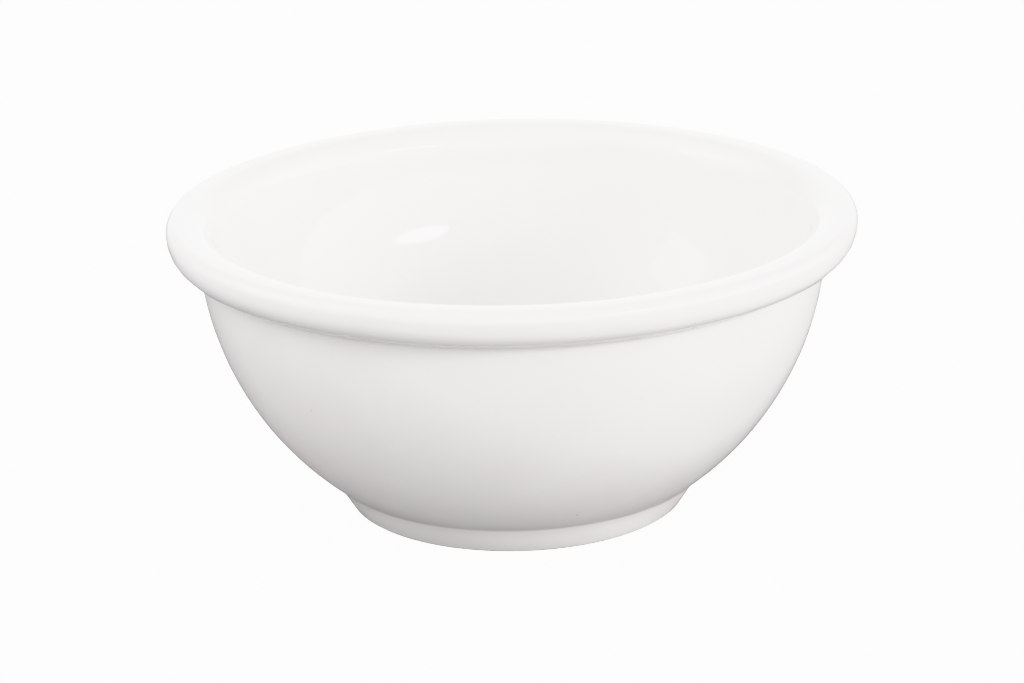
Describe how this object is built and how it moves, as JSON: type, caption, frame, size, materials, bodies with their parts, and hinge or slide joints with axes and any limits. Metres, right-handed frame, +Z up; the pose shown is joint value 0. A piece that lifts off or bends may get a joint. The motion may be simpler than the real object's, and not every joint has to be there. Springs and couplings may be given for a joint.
{
  "type": "shaving bowl",
  "caption": "Low round lather bowl in white glazed porcelain, with a thick rolled rim, a hemispherical body and a low tapered foot ring.",
  "frame": {"origin": "centre of the circle that the foot ring stands on", "axes": "+Z up along the bowl's turning axis, towards its mouth; +X and +Y are any two directions across, because the bowl is round"},
  "size_m": [0.125, 0.125, 0.055],
  "materials": {
    "glazed_porcelain": "gloss white glaze"
  },
  "bodies": {
    "root": {"bowl": "glazed_porcelain"}
  },
  "joints": []
}
